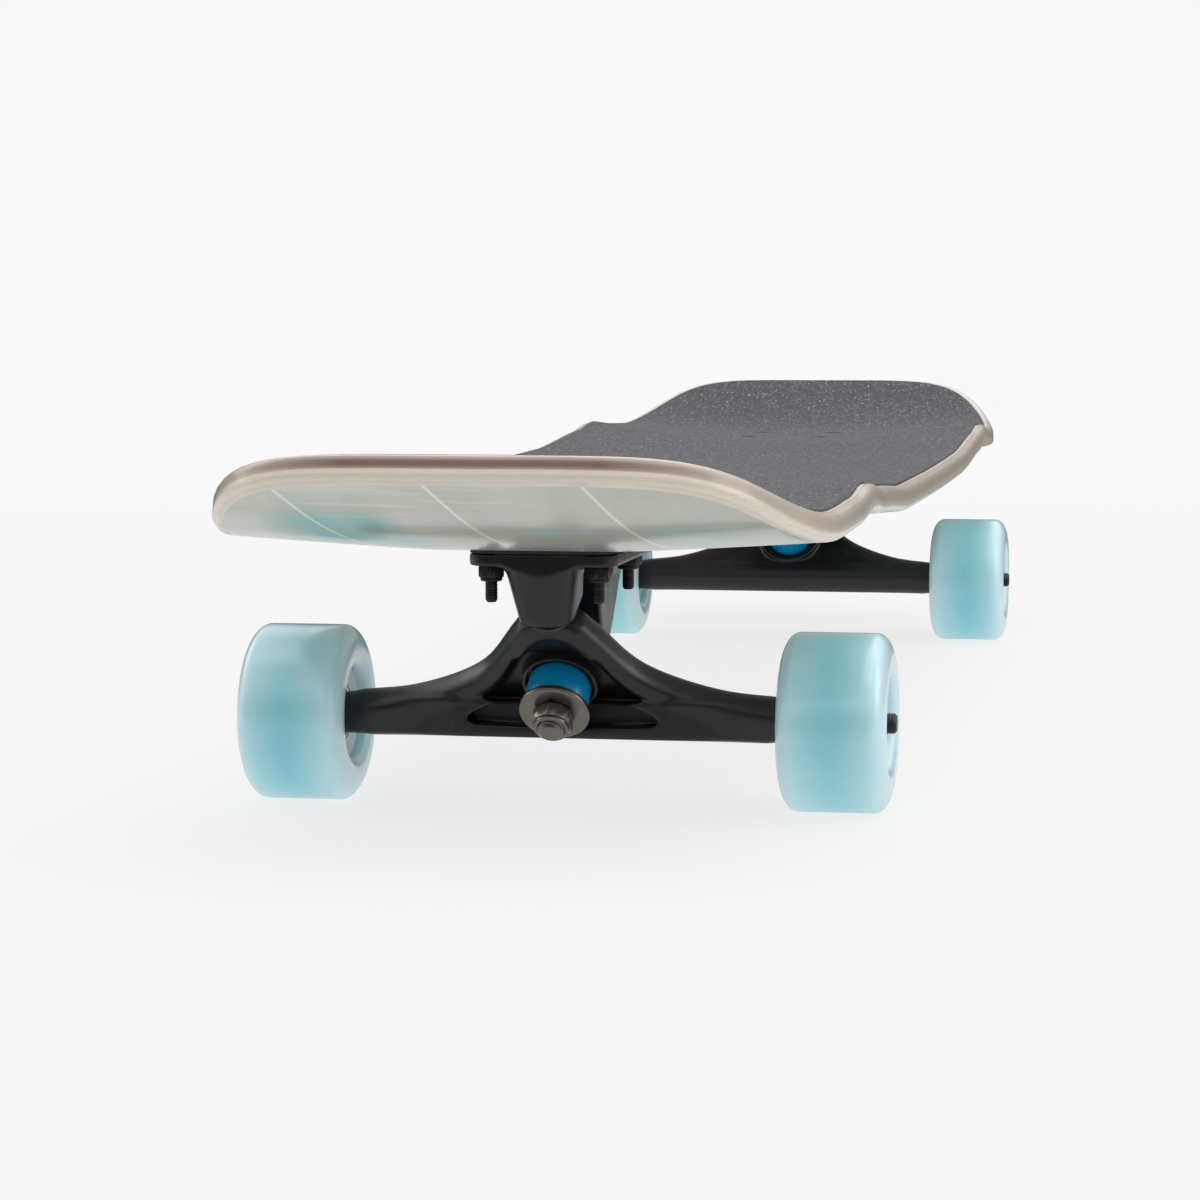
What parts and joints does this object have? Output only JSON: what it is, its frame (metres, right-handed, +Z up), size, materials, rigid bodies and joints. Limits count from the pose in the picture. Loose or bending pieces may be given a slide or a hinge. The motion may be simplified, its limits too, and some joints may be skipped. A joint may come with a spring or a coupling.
{
  "type": "skateboard",
  "caption": "Complete longboard-style skateboard with upturned ends, leaning reverse-kingpin trucks and soft rounded wheels, standing on its wheels.",
  "frame": {"origin": "on the ground under the middle of the board, where the wheels stand", "axes": "+X to the nose, +Y to the rider's left when facing the nose, +Z up"},
  "size_m": [1.0122, 0.2576, 0.1456],
  "materials": {
    "maple": "satin lacquer over cross-laid veneers",
    "grit": "coarse abrasive film",
    "cast": "satin black coated casting",
    "steel": "dark nickel plated steel",
    "black_steel": "black oxide",
    "riser_rubber": "matt black",
    "nylon": "matt moulded",
    "bushing_urethane": "glossy blue urethane",
    "wheel_urethane": "translucent pale aqua urethane, satin",
    "bearing_steel": "ground steel rings with a dark shield"
  },
  "bodies": {
    "board": {"deck": "maple", "grip_tape": "grit", "nose_baseplate": "cast", "nose_riser_pad": "riser_rubber", "nose_pivot_cup": "nylon", "nose_kingpin": "steel", "nose_boardside_washer": "steel", "nose_boardside_bushing": "bushing_urethane", "nose_roadside_bushing": "bushing_urethane", "nose_roadside_washer": "steel", "nose_kingpin_nut": "steel", "nose_bolt_1": "black_steel", "nose_locknut_1": "black_steel", "nose_bolt_2": "black_steel", "nose_locknut_2": "black_steel", "nose_bolt_3": "black_steel", "nose_locknut_3": "black_steel", "nose_bolt_4": "black_steel", "nose_locknut_4": "black_steel", "tail_baseplate": "cast", "tail_riser_pad": "riser_rubber", "tail_pivot_cup": "nylon", "tail_kingpin": "steel", "tail_boardside_washer": "steel", "tail_boardside_bushing": "bushing_urethane", "tail_roadside_bushing": "bushing_urethane", "tail_roadside_washer": "steel", "tail_kingpin_nut": "steel", "tail_bolt_1": "black_steel", "tail_locknut_1": "black_steel", "tail_bolt_2": "black_steel", "tail_locknut_2": "black_steel", "tail_bolt_3": "black_steel", "tail_locknut_3": "black_steel", "tail_bolt_4": "black_steel", "tail_locknut_4": "black_steel"},
    "nose_hanger": {"nose_hanger": "cast", "nose_axle": "steel", "nose_left_spacer": "steel", "nose_left_axle_nut": "black_steel", "nose_right_spacer": "steel", "nose_right_axle_nut": "black_steel"},
    "nose_left_wheel": {"nose_left_wheel": "wheel_urethane", "nose_left_inner_bearing": "bearing_steel", "nose_left_outer_bearing": "bearing_steel"},
    "nose_right_wheel": {"nose_right_wheel": "wheel_urethane", "nose_right_inner_bearing": "bearing_steel", "nose_right_outer_bearing": "bearing_steel"},
    "tail_hanger": {"tail_hanger": "cast", "tail_axle": "steel", "tail_left_spacer": "steel", "tail_left_axle_nut": "black_steel", "tail_right_spacer": "steel", "tail_right_axle_nut": "black_steel"},
    "tail_left_wheel": {"tail_left_wheel": "wheel_urethane", "tail_left_inner_bearing": "bearing_steel", "tail_left_outer_bearing": "bearing_steel"},
    "tail_right_wheel": {"tail_right_wheel": "wheel_urethane", "tail_right_inner_bearing": "bearing_steel", "tail_right_outer_bearing": "bearing_steel"}
  },
  "joints": [
    {"name": "nose_steer", "type": "hinge", "parent": "board", "child": "nose_hanger", "pos_m": [0.3434, 0, 0.0532], "axis": [0.6428, 0, 0.766], "range_deg": [-20, 20], "stiffness_Nm_per_rad": 70, "deforming": ["nose_boardside_bushing", "nose_roadside_bushing"]},
    {"name": "tail_steer", "type": "hinge", "parent": "board", "child": "tail_hanger", "pos_m": [-0.3434, 0, 0.0532], "axis": [-0.6428, 0, 0.766], "range_deg": [-20, 20], "stiffness_Nm_per_rad": 70, "deforming": ["tail_boardside_bushing", "tail_roadside_bushing"]},
    {"name": "nose_left_wheel_spin", "type": "hinge", "parent": "nose_hanger", "child": "nose_left_wheel", "pos_m": [0.33, 0.106, 0.035], "axis": [0, 1, 0], "continuous": true},
    {"name": "nose_right_wheel_spin", "type": "hinge", "parent": "nose_hanger", "child": "nose_right_wheel", "pos_m": [0.33, -0.106, 0.035], "axis": [0, 1, 0], "continuous": true},
    {"name": "tail_left_wheel_spin", "type": "hinge", "parent": "tail_hanger", "child": "tail_left_wheel", "pos_m": [-0.33, 0.106, 0.035], "axis": [0, 1, 0], "continuous": true},
    {"name": "tail_right_wheel_spin", "type": "hinge", "parent": "tail_hanger", "child": "tail_right_wheel", "pos_m": [-0.33, -0.106, 0.035], "axis": [0, 1, 0], "continuous": true}
  ]
}
